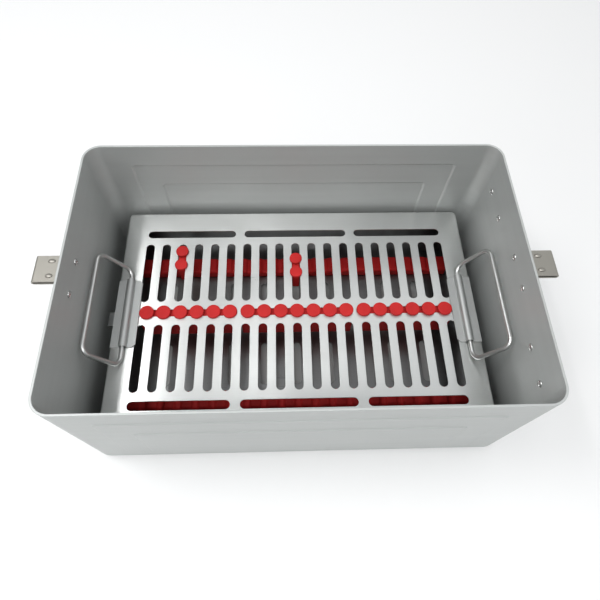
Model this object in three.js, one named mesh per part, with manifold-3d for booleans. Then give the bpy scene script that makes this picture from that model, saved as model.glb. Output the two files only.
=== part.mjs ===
// A sterilisation container tub with an instrument cassette seated in it.
// Millimetres, +Z up. Origin: centre of the tub's underside. +X runs along the tub, +Y towards its back wall.
import * as THREE from "three";
import { mergeVertices } from "three/addons/utils/BufferGeometryUtils.js";
import Module from "manifold-3d";

const wasm = await Module();
wasm.setup();

// Driving dimensions
const TUB = { length: 312.5, width: 201.6, height: 122.6, wall: 1.6, corner: 12.5, bottomRadius: 5 };
const PANEL = { step: 0.8, bevel: 1.6, foot: 14, corner: 4, inner: 6.4 };
const OUTER_PANEL = { halfLength: 127.5, top: 102.5, low: PANEL.foot, reach: PANEL.step };
const INNER_PANEL = { halfLength: 108.5, top: 80, low: PANEL.foot + PANEL.inner, reach: 2 * PANEL.step };
const LID = { length: 286, width: 192.5, corner: 4, bend: 1.4, skirt: 9 };
const SHEET = 1;
const CASSETTE_HEIGHT = 40;
const BASE_BEND = 2;
const FOOT = { height: 3.2, topRadius: 8, tipRadius: 5.5, x: 122, y: 76, root: 0.4 };
const REST_GAP = 0.2;
const GAP = 0.3;
const PLAY = 0.5;
const CUT = 1;
const LONG_CUT = 6;
const SLOT_PITCH = 13.5;
const SLOT_COLUMNS = 19;
const SLOT = { width: 6.8, near: 10, far: 64.2 };
const EDGE_SLOT = { width: 6.8, y: 74.2, spans: [[-124.6, -50.5], [-43.3, 43.3], [50.5, 124.6]] };
const DISC = { pitch: 13, radius: 5.4, height: 2.5, taper: 0.4, stem: 0.5 };
const STRIP_SLOT_WIDTH = 6;
const STRIPS = [
  { name: "hold_down_strip_left", x: -85.5, discs: 6 },
  { name: "hold_down_strip_centre", x: 0, discs: 7 },
  { name: "hold_down_strip_right", x: 85.5, discs: 6 },
];
const STRIP_KEEL = { width: 16, depth: 24, overhang: 3.4, edge: 1.2 };
const PLUG_KEEL = { width: 6, depth: 17.5, overhang: 3.9, edge: 1 };
const SLOT_CLEARANCE = 0.4;
const PLUGS = [
  { name: "slot_plug_left", column: -7, y: 49.9 },
  { name: "slot_plug_centre", column: 0, y: 41.9 },
];
const RAIL = {
  length: 272, width: 15, top: 15.2, bottom: 6.6, edge: 2.6,
  notchDepth: 2.4, notchWidth: 7.6, notchSlope: 1.2,
};
const RAIL_SUPPORT = { width: 8, top: 10.6, shorter: 1 };
const RAIL_Y = { front_rail: -61.5, back_rail: 61.5 };
const DRAIN = { y: 29, halfLength: 18, columnStep: 2, columns: 9 };
const WIRE_RADIUS = 1.7;
const HANDLE = { pivotX: 133, pivotHeight: 2, y: -3.2, halfWidth: 41, bend: 7, arm: 33.5, leanReach: 18.5 };
const HANDLE_BRACKET = {
  length: 58, inner: 123.8, outer: 142.8, thickness: 0.9, channel: 2.3, chamfer: 2.5, lift: 0.1,
};
const CATCH = {
  width: 20, reach: 19.3, top: 115, hook: 3.7, sheet: 1, bend: 2.5, hookEnd: 5,
  flangeWidth: 36, flangeBottom: 96, flangeTop: 107, lap: 2,
};
const CATCH_RIVET = { height: 102, spacing: 25.5 };
const DART = { length: 3.2, width: 1.5, height: 0.9, fromWall: 4.2, y: 6.2, sink: 0.2 };
const HOLDER = { y: 65.6, z: 93.5, length: 50, height: 21, depth: 3.6, sheet: 0.8, lip: 3.4 };
const TAG = { thickness: 0.5, behindLip: 0.15, endGap: 0.5 };
const RIVET = { shank: 1.6, hole: 1.95, head: 2.5, headHeight: 1, tailHeight: 0.6 };
const LATCH = {
  y: -3, width: 12, sheet: 1, top: 41.5, bottom: 22, rootHeight: 4, tabReach: 4.4, gap: 0.4,
};

// Derived levels
const LID_TOP = TUB.wall + REST_GAP + FOOT.height + CASSETTE_HEIGHT;
const LID_UNDER = LID_TOP - SHEET;
const BASE_BOTTOM = LID_TOP - CASSETTE_HEIGHT;
const FLOOR_TOP = BASE_BOTTOM + SHEET;
const BASE_TOP = LID_UNDER - GAP;
const BASE_HALF = { x: LID.length / 2 - SHEET - PLAY, y: LID.width / 2 - SHEET - PLAY };
const WALL_OUTSIDE = TUB.length / 2;
const WALL_INSIDE = WALL_OUTSIDE - TUB.wall;

// Solids
const finishes = {
  satinAluminium: [0xb4b8b9, 0.42, 0.85],
  brushedSteel: [0xc6c9c8, 0.3, 0.95],
  polishedWire: [0x9c9c9a, 0.22, 1],
  silicone: [0xc93a38, 0.55, 0],
  rivetMetal: [0xb9bab8, 0.35, 0.9],
  blankTag: [0xd8d8d4, 0.5, 0],
};

function materialOf(finish) {
  const [color, roughness, metalness] = finishes[finish];
  return new THREE.MeshStandardMaterial({ color, roughness, metalness });
}

function solidOf(geometry) {
  const bare = geometry.clone();
  bare.deleteAttribute("normal");
  bare.deleteAttribute("uv");
  const merged = mergeVertices(bare, 1e-4);
  const mesh = new wasm.Mesh({
    numProp: 3,
    vertProperties: new Float32Array(merged.attributes.position.array),
    triVerts: new Uint32Array(merged.index.array),
  });
  return new wasm.Manifold(mesh);
}

function geometryOf(solid) {
  const mesh = solid.getMesh();
  const geometry = new THREE.BufferGeometry();
  geometry.setAttribute("position", new THREE.BufferAttribute(mesh.vertProperties, 3));
  geometry.setIndex(new THREE.BufferAttribute(mesh.triVerts, 1));
  geometry.computeVertexNormals();
  return geometry;
}

function join(solids) {
  return solids.reduce((whole, next) => whole.add(next));
}

function cutAll(solid, cutters) {
  return cutters.reduce((rest, cutter) => rest.subtract(cutter), solid);
}

function namedMesh(name, solid, finish) {
  const mesh = new THREE.Mesh(geometryOf(solid), materialOf(finish));
  mesh.name = name;
  return mesh;
}

// A box between two corners.
function boxBetween([x0, y0, z0], [x1, y1, z1]) {
  const box = new THREE.BoxGeometry(x1 - x0, y1 - y0, z1 - z0);
  return solidOf(box.translate((x0 + x1) / 2, (y0 + y1) / 2, (z0 + z1) / 2));
}

// A round bar from z0 to z1 on a vertical axis, which may taper.
function post(x, y, z0, z1, lowRadius, highRadius = lowRadius, sides = 20) {
  const bar = new THREE.CylinderGeometry(highRadius, lowRadius, z1 - z0, sides);
  return solidOf(bar.rotateX(Math.PI / 2).translate(x, y, (z0 + z1) / 2));
}

// A section drawn in X and Z, carried along Y.
function alongY(shape, y0, y1, curveSegments = 4) {
  const bar = new THREE.ExtrudeGeometry(shape, { depth: y1 - y0, bevelEnabled: false, curveSegments });
  return solidOf(bar.rotateX(Math.PI / 2).translate(0, y1, 0));
}

// A section drawn in Y and Z, carried along X.
function alongX(shape, x0, x1, curveSegments = 4) {
  const bar = new THREE.ExtrudeGeometry(shape, { depth: x1 - x0, bevelEnabled: false, curveSegments });
  const turn = new THREE.Matrix4().makeBasis(
    new THREE.Vector3(0, 1, 0), new THREE.Vector3(0, 0, 1), new THREE.Vector3(1, 0, 0),
  );
  return solidOf(bar.applyMatrix4(turn).translate(x0, 0, 0));
}

// An outline drawn in X and Y, carried up from z0 to z1.
function upwards(shape, z0, z1, curveSegments = 3) {
  const bar = new THREE.ExtrudeGeometry(shape, { depth: z1 - z0, bevelEnabled: false, curveSegments });
  return solidOf(bar.translate(0, 0, z0));
}

// The points of a rounded rectangle, counter-clockwise.
function roundedRing(halfX, halfY, radius, z, perCorner) {
  const centres = [[1, 1], [-1, 1], [-1, -1], [1, -1]];
  return centres.flatMap(([sx, sy], corner) =>
    Array.from({ length: perCorner + 1 }, (_, i) => {
      const angle = (corner + i / perCorner) * (Math.PI / 2);
      return [
        sx * (halfX - radius) + radius * Math.cos(angle),
        sy * (halfY - radius) + radius * Math.sin(angle),
        z,
      ];
    }),
  );
}

// A closed skin over a stack of rings of equal count, capped flat at its two ends.
function loft(rings) {
  const count = rings[0].length;
  const points = rings.flat(2);
  const faces = [];
  for (let level = 0; level < rings.length - 1; level++) {
    for (let i = 0; i < count; i++) {
      const a = level * count + i;
      const b = level * count + ((i + 1) % count);
      faces.push(a, b, b + count, a, b + count, a + count);
    }
  }
  const last = (rings.length - 1) * count;
  for (let i = 1; i < count - 1; i++) {
    faces.push(0, i + 1, i, last, last + i, last + i + 1);
  }
  const geometry = new THREE.BufferGeometry();
  geometry.setAttribute("position", new THREE.Float32BufferAttribute(points, 3));
  geometry.setIndex(faces);
  return solidOf(geometry);
}

// A solid block with rounded upright corners and a rounded edge round its bottom (or its top).
function pillow({ halfX, halfY, corner, edge, z0, z1, edgeAtTop = false, perCorner = 6, steps = 3 }) {
  const levels = Array.from({ length: steps + 1 }, (_, i) => (i / steps) * (Math.PI / 2));
  const rings = levels.map((angle) => {
    const inset = edge * (1 - Math.sin(angle));
    const rise = edge * (1 - Math.cos(angle));
    const z = edgeAtTop ? z1 - rise : z0 + rise;
    return roundedRing(halfX - inset, halfY - inset, Math.max(corner - inset, 0.3), z, perCorner);
  });
  const flat = roundedRing(halfX, halfY, corner, edgeAtTop ? z0 : z1, perCorner);
  return edgeAtTop ? loft([flat, ...rings.reverse()]) : loft([...rings, flat]);
}

// The outline of a bent sheet: a path thickened to both sides, with mitred corners.
function sheetSection(path, thickness, divisions = 3) {
  const points = path.getPoints(divisions).filter((p, i, all) => i === 0 || p.distanceTo(all[i - 1]) > 1e-6);
  const sides = [1, -1].map((side) =>
    points.map((p, i) => {
      const before = i > 0 ? p.clone().sub(points[i - 1]).normalize() : null;
      const after = i < points.length - 1 ? points[i + 1].clone().sub(p).normalize() : null;
      const one = before ?? after;
      const two = after ?? before;
      const tangent = one.clone().add(two).normalize();
      const reach = ((side * thickness) / 2) / Math.max(tangent.dot(one), 0.2);
      return new THREE.Vector2(p.x - tangent.y * reach, p.y + tangent.x * reach);
    }),
  );
  return new THREE.Shape([...sides[0], ...sides[1].reverse()]);
}

// A slot outline with round ends, along X or along Y.
function slotShape(x, y, halfLength, halfWidth, vertical) {
  const shape = new THREE.Shape();
  const straight = halfLength - halfWidth;
  if (vertical) {
    shape.absarc(x, y + straight, halfWidth, 0, Math.PI);
    shape.absarc(x, y - straight, halfWidth, Math.PI, 2 * Math.PI);
  } else {
    shape.absarc(x + straight, y, halfWidth, -Math.PI / 2, Math.PI / 2);
    shape.absarc(x - straight, y, halfWidth, Math.PI / 2, 1.5 * Math.PI);
  }
  return shape;
}

// Container tub
function panelBlock(panel, side, outwards) {
  const face = outwards ? TUB.width / 2 : TUB.width / 2 - TUB.wall;
  const root = outwards ? -TUB.wall / 2 : -2 * TUB.wall;
  const halfHeight = (panel.top - panel.low) / 2;
  const outline = (inset, depth) =>
    roundedRing(panel.halfLength - inset, halfHeight - inset, PANEL.corner - inset, depth, 4);
  const raised = loft([outline(0, root), outline(0, 0), outline(PANEL.bevel, panel.reach)]);
  const turned = raised.rotate([90, 0, side > 0 ? 180 : 0]);
  return turned.translate([0, side * face, (panel.top + panel.low) / 2]);
}

function rivetPlaces() {
  const ends = [-1, 1].flatMap((end) =>
    [-1, 1].map((side) => ({
      name: `${end < 0 ? "left" : "right"}_catch_rivet_${side < 0 ? "front" : "back"}`,
      end,
      y: (side * CATCH_RIVET.spacing) / 2,
      z: CATCH_RIVET.height,
      grip: CATCH.sheet,
    })),
  );
  const holders = [-1, 1].flatMap((holder) =>
    [-1, 1].map((side) => ({
      name: `${holder < 0 ? "front" : "back"}_holder_rivet_${side < 0 ? "front" : "back"}`,
      end: 1,
      y: holder * HOLDER.y + (side * CATCH_RIVET.spacing) / 2,
      z: HOLDER.z,
      grip: HOLDER.sheet,
    })),
  );
  return [...ends, ...holders];
}

// A round bar along X, from x0 to x1.
function barAlongX(x0, x1, y, z, radius, sides = 10) {
  const bar = new THREE.CylinderGeometry(radius, radius, x1 - x0, sides);
  return solidOf(bar.rotateZ(-Math.PI / 2).translate((x0 + x1) / 2, y, z));
}

function rivetHole({ end, y, z }) {
  const near = end > 0 ? WALL_INSIDE : -WALL_OUTSIDE;
  const far = end > 0 ? WALL_OUTSIDE : -WALL_INSIDE;
  return barAlongX(near - LONG_CUT, far + LONG_CUT, y, z, RIVET.hole);
}

function containerTub() {
  const outside = {
    halfX: TUB.length / 2, halfY: TUB.width / 2, corner: TUB.corner, edge: TUB.bottomRadius,
    z0: 0, z1: TUB.height, perCorner: 7, steps: 3,
  };
  const inside = {
    ...outside,
    halfX: outside.halfX - TUB.wall,
    halfY: outside.halfY - TUB.wall,
    corner: TUB.corner - TUB.wall,
    edge: TUB.bottomRadius - TUB.wall,
    z0: TUB.wall,
    z1: TUB.height + LONG_CUT,
  };
  const panels = [OUTER_PANEL, INNER_PANEL];
  const sides = [-1, 1];
  const raised = sides.flatMap((side) => panels.map((panel) => panelBlock(panel, side, true)));
  const pressed = sides.flatMap((side) => panels.map((panel) => panelBlock(panel, side, false)));
  const shell = join([pillow(outside), ...raised]);
  return cutAll(shell, [pillow(inside), ...pressed, ...rivetPlaces().map(rivetHole)]);
}

// A rivet with a domed head inside the wall and a flat tail outside what it holds.
function rivet({ end, y, z, grip }) {
  const grasp = TUB.wall + grip + 2 * REST_GAP;
  const dome = Array.from({ length: 3 }, (_, i) => {
    const angle = (i / 3) * (Math.PI / 2);
    return new THREE.Vector2(RIVET.head * Math.sin(angle), -RIVET.headHeight * Math.cos(angle));
  });
  const profile = [
    ...dome,
    new THREE.Vector2(RIVET.head, 0),
    new THREE.Vector2(RIVET.shank, 0),
    new THREE.Vector2(RIVET.shank, grasp),
    new THREE.Vector2(RIVET.head, grasp),
    new THREE.Vector2(RIVET.head, grasp + RIVET.tailHeight),
    new THREE.Vector2(0, grasp + RIVET.tailHeight),
  ];
  const turned = solidOf(new THREE.LatheGeometry(profile, 10).rotateZ(-Math.PI / 2));
  const placed = turned.translate([WALL_INSIDE - REST_GAP / 2, y, z]);
  return end > 0 ? placed : placed.mirror([1, 0, 0]);
}

// Lid catch: a flange riveted to the end wall, bent out into a shelf whose end is folded back under it.
function lidCatch(end) {
  const t = CATCH.sheet;
  const wallX = WALL_OUTSIDE + REST_GAP / 2 + t / 2;
  const topZ = CATCH.top - t / 2;
  const underZ = CATCH.top - CATCH.hook + t / 2;
  const fold = (topZ - underZ) / 2;
  const tip = WALL_OUTSIDE + CATCH.reach - t / 2 - fold;
  const path = new THREE.Path();
  path.moveTo(wallX, CATCH.flangeTop - CATCH.lap);
  path.lineTo(wallX, topZ - CATCH.bend);
  path.absarc(wallX + CATCH.bend, topZ - CATCH.bend, CATCH.bend, Math.PI, Math.PI / 2, true);
  path.lineTo(tip, topZ);
  path.absarc(tip, topZ - fold, fold, Math.PI / 2, -Math.PI / 2, true);
  path.lineTo(WALL_OUTSIDE + CATCH.hookEnd, underZ);
  const shelf = alongY(sheetSection(path, t), -CATCH.width / 2, CATCH.width / 2);
  const flange = boxBetween(
    [wallX - t / 2, -CATCH.flangeWidth / 2, CATCH.flangeBottom],
    [wallX + t / 2, CATCH.flangeWidth / 2, CATCH.flangeTop],
  );
  const darts = [-1, 1].map((side) => {
    const dart = new THREE.SphereGeometry(1, 8, 6).scale(DART.length, DART.width, DART.height);
    return solidOf(dart.translate(wallX + DART.fromWall, side * DART.y, CATCH.top - DART.sink));
  });
  const holes = [-1, 1].map((side) => {
    const y = (side * CATCH_RIVET.spacing) / 2;
    return barAlongX(wallX - LONG_CUT, wallX + LONG_CUT, y, CATCH_RIVET.height, RIVET.hole);
  });
  const whole = cutAll(join([shelf, flange, ...darts]), holes);
  return end > 0 ? whole : whole.mirror([1, 0, 0]);
}

// Label holder: a plate riveted outside the right wall, with its long edges folded over a slide-in tag.
function labelHolder(side) {
  const t = HOLDER.sheet;
  const back = WALL_OUTSIDE + REST_GAP / 2 + t / 2;
  const front = back + HOLDER.depth - t;
  const low = HOLDER.z - HOLDER.height / 2 + t / 2;
  const high = HOLDER.z + HOLDER.height / 2 - t / 2;
  const path = new THREE.Path();
  path.moveTo(front, low + HOLDER.lip);
  path.lineTo(front, low);
  path.lineTo(back, low);
  path.lineTo(back, high);
  path.lineTo(front, high);
  path.lineTo(front, high - HOLDER.lip);
  const y = side * HOLDER.y;
  const frame = alongY(sheetSection(path, t), y - HOLDER.length / 2, y + HOLDER.length / 2);
  const holes = [-1, 1].map((end) =>
    barAlongX(back - CUT, back + CUT, y + (end * CATCH_RIVET.spacing) / 2, HOLDER.z, RIVET.hole),
  );
  return cutAll(frame, holes);
}

function labelTag(side) {
  const front = WALL_OUTSIDE + REST_GAP / 2 + HOLDER.depth - HOLDER.sheet - TAG.behindLip;
  const y = side * HOLDER.y;
  const halfLength = HOLDER.length / 2 - TAG.endGap;
  const halfHeight = HOLDER.height / 2 - HOLDER.sheet - GAP;
  return boxBetween(
    [front - TAG.thickness, y - halfLength, HOLDER.z - halfHeight],
    [front, y + halfLength, HOLDER.z + halfHeight],
  );
}

// Cassette base: an open pan on four pressed feet, with drain slots through its floor.
function cassetteBase() {
  const outside = {
    halfX: BASE_HALF.x, halfY: BASE_HALF.y, corner: LID.corner - SHEET, edge: BASE_BEND,
    z0: BASE_BOTTOM, z1: BASE_TOP, perCorner: 4, steps: 2,
  };
  const inside = {
    ...outside,
    halfX: outside.halfX - SHEET,
    halfY: outside.halfY - SHEET,
    corner: outside.corner - SHEET,
    edge: BASE_BEND - SHEET,
    z0: FLOOR_TOP,
    z1: BASE_TOP + LONG_CUT,
  };
  const feet = [-1, 1].flatMap((sx) =>
    [-1, 1].map((sy) =>
      post(
        sx * FOOT.x, sy * FOOT.y, BASE_BOTTOM - FOOT.height, BASE_BOTTOM + FOOT.root,
        FOOT.tipRadius, FOOT.topRadius, 12,
      ),
    ),
  );
  const drains = [];
  for (let i = 0; i < DRAIN.columns; i++) {
    for (const side of [-1, 1]) {
      const x = (i - (DRAIN.columns - 1) / 2) * DRAIN.columnStep * SLOT_PITCH;
      const outline = slotShape(x, side * DRAIN.y, DRAIN.halfLength, SLOT.width / 2, true);
      drains.push(upwards(outline, BASE_BOTTOM - CUT, FLOOR_TOP + CUT));
    }
  }
  return cutAll(join([pillow(outside), ...feet]), [pillow(inside), ...drains]);
}

// Rail support: an upturned channel of bent sheet standing on the floor of the base.
function railSupport(y) {
  const halfWidth = RAIL_SUPPORT.width / 2;
  const low = FLOOR_TOP + REST_GAP;
  const high = RAIL_SUPPORT.top - SHEET / 2;
  const path = new THREE.Path();
  path.moveTo(y - halfWidth, low);
  path.lineTo(y - halfWidth, high);
  path.lineTo(y + halfWidth, high);
  path.lineTo(y + halfWidth, low);
  const halfLength = RAIL.length / 2 - RAIL_SUPPORT.shorter;
  return alongX(sheetSection(path, SHEET), -halfLength, halfLength);
}

// Silicone rail: a cap over the support, round on top, with a shallow notch under each column of slots.
function siliconeRail(y) {
  const half = RAIL.width / 2;
  const section = new THREE.Shape();
  section.moveTo(y - half, RAIL.bottom);
  section.lineTo(y + half, RAIL.bottom);
  section.absarc(y + half - RAIL.edge, RAIL.top - RAIL.edge, RAIL.edge, 0, Math.PI / 2);
  section.absarc(y - half + RAIL.edge, RAIL.top - RAIL.edge, RAIL.edge, Math.PI / 2, Math.PI);
  const cap = alongX(section, -RAIL.length / 2, RAIL.length / 2, 3);
  const hollowHalf = (RAIL_SUPPORT.width + SHEET) / 2 + GAP;
  const hollow = boxBetween(
    [-RAIL.length, y - hollowHalf, RAIL.bottom - CUT],
    [RAIL.length, y + hollowHalf, RAIL_SUPPORT.top + GAP],
  );
  const reach = (SLOT_COLUMNS - 1) / 2;
  const notches = Array.from({ length: SLOT_COLUMNS }, (_, i) => {
    const x = (i - reach) * SLOT_PITCH;
    const notch = new THREE.Shape();
    notch.moveTo(x - RAIL.notchWidth / 2, RAIL.top + CUT);
    notch.lineTo(x - RAIL.notchWidth / 2 + RAIL.notchSlope, RAIL.top - RAIL.notchDepth);
    notch.lineTo(x + RAIL.notchWidth / 2 - RAIL.notchSlope, RAIL.top - RAIL.notchDepth);
    notch.lineTo(x + RAIL.notchWidth / 2, RAIL.top + CUT);
    return alongY(notch, y - RAIL.width, y + RAIL.width);
  });
  return cutAll(cap, [hollow, ...notches]);
}

// Lid: a flat plate with a turned-down skirt, pierced by slots.
function columnX(column) {
  return column * SLOT_PITCH;
}

function lidSlots() {
  const slots = [];
  const middle = (SLOT.near + SLOT.far) / 2;
  const half = (SLOT.far - SLOT.near) / 2;
  const reach = (SLOT_COLUMNS - 1) / 2;
  for (let column = -reach; column <= reach; column++) {
    for (const side of [-1, 1]) {
      slots.push(slotShape(columnX(column), side * middle, half, SLOT.width / 2, true));
    }
  }
  for (const [from, to] of EDGE_SLOT.spans) {
    const x = (from + to) / 2;
    const halfLength = (to - from) / 2;
    for (const side of [-1, 1]) {
      slots.push(slotShape(x, side * EDGE_SLOT.y, halfLength, EDGE_SLOT.width / 2, false));
    }
  }
  for (const { x, discs } of STRIPS) {
    const halfLength = ((discs - 1) * DISC.pitch) / 2 + STRIP_SLOT_WIDTH / 2;
    slots.push(slotShape(x, 0, halfLength, STRIP_SLOT_WIDTH / 2, false));
  }
  return slots;
}

function cassetteLid() {
  const outside = {
    halfX: LID.length / 2, halfY: LID.width / 2, corner: LID.corner, edge: LID.bend,
    z0: LID_TOP - LID.skirt, z1: LID_TOP, edgeAtTop: true, perCorner: 4, steps: 2,
  };
  const inside = {
    ...outside,
    halfX: outside.halfX - SHEET,
    halfY: outside.halfY - SHEET,
    corner: outside.corner - SHEET,
    edge: LID.bend - SHEET,
    z0: LID_TOP - LID.skirt - LONG_CUT,
    z1: LID_UNDER,
    steps: 1,
  };
  const cutters = lidSlots().map((slot) => upwards(slot, LID_UNDER - CUT, LID_TOP + CUT));
  return cutAll(pillow(outside), [pillow(inside), ...cutters]);
}

// A silicone piece pushed down through a slot: disc heads above the plate, a neck in the slot, a keel below.
// It is drawn along X about its own middle.
function discStrip(discs, slotWidth, keel) {
  const centres = Array.from({ length: discs }, (_, i) => (i - (discs - 1) / 2) * DISC.pitch);
  const end = centres[discs - 1];
  const half = slotWidth / 2 - SLOT_CLEARANCE;
  const keelTop = LID_UNDER - GAP;
  const keelBottom = LID_TOP - keel.depth;
  const heads = centres.map((x) =>
    post(x, 0, LID_TOP + REST_GAP, LID_TOP + DISC.height, DISC.radius, DISC.radius - DISC.taper, 16),
  );
  const stems = centres.map((x) => post(x, 0, LID_UNDER, LID_TOP + DISC.stem, half, half, 8));
  const neck = upwards(slotShape(0, 0, end + half, half, false), keelTop - CUT, LID_TOP - DISC.stem);
  const body = new THREE.Shape();
  const w = keel.width / 2;
  body.moveTo(-w, keelTop);
  body.lineTo(-w, keelBottom + keel.edge);
  body.lineTo(-w + keel.edge, keelBottom);
  body.lineTo(w - keel.edge, keelBottom);
  body.lineTo(w, keelBottom + keel.edge);
  body.lineTo(w, keelTop);
  return join([alongX(body, -end - keel.overhang, end + keel.overhang), neck, ...stems, ...heads]);
}

function holdDownStrip({ x, discs }) {
  return discStrip(discs, STRIP_SLOT_WIDTH, STRIP_KEEL).translate([x, 0, 0]);
}

function slotPlug({ column, y }) {
  const strip = discStrip(2, SLOT.width, PLUG_KEEL);
  return strip.rotate([0, 0, 90]).translate([columnX(column), y, 0]);
}

// Handle bracket: a strap with an arched channel over the wire and a flat flange to each side.
function handleBracket(end) {
  const t = HANDLE_BRACKET.thickness;
  const low = LID_TOP + HANDLE_BRACKET.lift + t / 2;
  const radius = HANDLE_BRACKET.channel + t / 2;
  const axis = LID_TOP + HANDLE.pivotHeight;
  const path = new THREE.Path();
  path.moveTo(HANDLE_BRACKET.inner, low);
  path.lineTo(HANDLE.pivotX - radius, low);
  path.lineTo(HANDLE.pivotX - radius, axis);
  path.absarc(HANDLE.pivotX, axis, radius, Math.PI, 0, true);
  path.lineTo(HANDLE.pivotX + radius, low);
  path.lineTo(HANDLE_BRACKET.outer, low);
  const half = HANDLE_BRACKET.length / 2;
  const strap = alongY(sheetSection(path, t, 5), -half, half);
  const corners = [-1, 1].map((side) => {
    const c = HANDLE_BRACKET.chamfer;
    const x = HANDLE_BRACKET.inner;
    const triangle = new THREE.Shape();
    triangle.moveTo(x - CUT, side * (half + CUT));
    triangle.lineTo(x - CUT, side * (half - c - CUT));
    triangle.lineTo(x + c + CUT, side * (half + CUT));
    return upwards(triangle, LID_TOP - CUT, LID_TOP + LONG_CUT);
  });
  const whole = cutAll(strap, corners);
  return end > 0 ? whole : whole.mirror([1, 0, 0]);
}

// Wire handle: a closed loop of round wire in a plane that leans outwards against the tub's end wall.
function wireHandle(end) {
  const rise = Math.sqrt(HANDLE.arm ** 2 - HANDLE.leanReach ** 2);
  const along = new THREE.Vector3(HANDLE.leanReach, 0, rise).normalize();
  const pivot = new THREE.Vector3(HANDLE.pivotX, 0, LID_TOP + HANDLE.pivotHeight);
  const at = (y, distance) => pivot.clone().addScaledVector(along, distance).setY(HANDLE.y + y);
  const w = HANDLE.halfWidth;
  const r = HANDLE.bend;
  const corners = [[-w, 0], [w, 0], [w, HANDLE.arm], [-w, HANDLE.arm]];
  const rings = [];
  const sides = 8;
  corners.forEach(([y, d], i) => {
    const before = corners[(i + 3) % 4];
    const after = corners[(i + 1) % 4];
    const inward = [Math.sign(before[0] - y), Math.sign(before[1] - d)];
    const onward = [Math.sign(after[0] - y), Math.sign(after[1] - d)];
    const centre = [y + r * (inward[0] + onward[0]), d + r * (inward[1] + onward[1])];
    const bendSteps = 5;
    for (let step = 0; step <= bendSteps; step++) {
      const angle = (step / bendSteps) * (Math.PI / 2);
      const out = [
        -onward[0] * Math.cos(angle) - inward[0] * Math.sin(angle),
        -onward[1] * Math.cos(angle) - inward[1] * Math.sin(angle),
      ];
      const middle = at(centre[0] + r * out[0], centre[1] + r * out[1]);
      const outward = at(centre[0] + (r + 1) * out[0], centre[1] + (r + 1) * out[1]).sub(middle);
      rings.push({ middle, outward });
    }
  });
  const normal = new THREE.Vector3().crossVectors(along, new THREE.Vector3(0, 1, 0));
  const points = rings.flatMap(({ middle, outward }) =>
    Array.from({ length: sides }, (_, k) => {
      const angle = (k / sides) * 2 * Math.PI;
      return middle
        .clone()
        .addScaledVector(outward, WIRE_RADIUS * Math.cos(angle))
        .addScaledVector(normal, WIRE_RADIUS * Math.sin(angle));
    }),
  );
  const faces = rings.flatMap((_, i) =>
    Array.from({ length: sides }, (_, k) => {
      const next = ((i + 1) % rings.length) * sides;
      const here = i * sides;
      const k1 = (k + 1) % sides;
      return [here + k, next + k1, next + k, here + k, here + k1, next + k1];
    }).flat(),
  );
  const geometry = new THREE.BufferGeometry();
  geometry.setAttribute("position", new THREE.Float32BufferAttribute(points.flatMap((p) => p.toArray()), 3));
  geometry.setIndex(faces);
  const loop = solidOf(geometry);
  return end > 0 ? loop : loop.mirror([1, 0, 0]);
}

// Lid latch: a spring leaf standing against the left skirt, with its top turned outwards as a thumb tab.
function lidLatch() {
  const t = LATCH.sheet;
  const leafX = LID.length / 2 + LATCH.gap + t / 2;
  const [front, back] = [LATCH.y - LATCH.width / 2, LATCH.y + LATCH.width / 2];
  const leaf = new THREE.Path();
  leaf.moveTo(leafX, LATCH.bottom + t);
  leaf.lineTo(leafX, LATCH.top - t / 2);
  leaf.lineTo(leafX + LATCH.tabReach, LATCH.top - t / 2);
  const spring = alongY(sheetSection(leaf, t), front, back);
  const root = boxBetween(
    [BASE_HALF.x + GAP, front, LATCH.bottom], [leafX + t / 2, back, LATCH.bottom + LATCH.rootHeight],
  );
  return join([spring, root]).mirror([1, 0, 0]);
}

// Assembly
const part = new THREE.Group();
part.add(namedMesh("container_tub", containerTub(), "satinAluminium"));
part.add(namedMesh("left_lid_catch", lidCatch(-1), "brushedSteel"));
part.add(namedMesh("right_lid_catch", lidCatch(1), "brushedSteel"));
rivetPlaces().forEach((place) => part.add(namedMesh(place.name, rivet(place), "rivetMetal")));
for (const [name, side] of [["front", -1], ["back", 1]]) {
  part.add(namedMesh(`${name}_label_holder`, labelHolder(side), "brushedSteel"));
  part.add(namedMesh(`${name}_label_tag`, labelTag(side), "blankTag"));
}
part.add(namedMesh("cassette_base", cassetteBase(), "brushedSteel"));
for (const [name, y] of Object.entries(RAIL_Y)) {
  part.add(namedMesh(`${name}_support`, railSupport(y), "brushedSteel"));
  part.add(namedMesh(`${name}_silicone`, siliconeRail(y), "silicone"));
}
part.add(namedMesh("lid_latch", lidLatch(), "brushedSteel"));
part.add(namedMesh("cassette_lid", cassetteLid(), "brushedSteel"));
STRIPS.forEach((strip) => part.add(namedMesh(strip.name, holdDownStrip(strip), "silicone")));
PLUGS.forEach((plug) => part.add(namedMesh(plug.name, slotPlug(plug), "silicone")));
for (const [name, end] of [["left", -1], ["right", 1]]) {
  part.add(namedMesh(`${name}_handle_bracket`, handleBracket(end), "brushedSteel"));
  part.add(namedMesh(`${name}_wire_handle`, wireHandle(end), "polishedWire"));
}

export default part;
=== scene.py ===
"""The looks of the instrument tray in its container tub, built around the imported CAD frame.

Sizes are in millimetres up to the point where a mesh is made, and come from the frame's boxes where they can.
"""

import math

import bmesh
import bpy
from mathutils import Matrix, Vector


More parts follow.
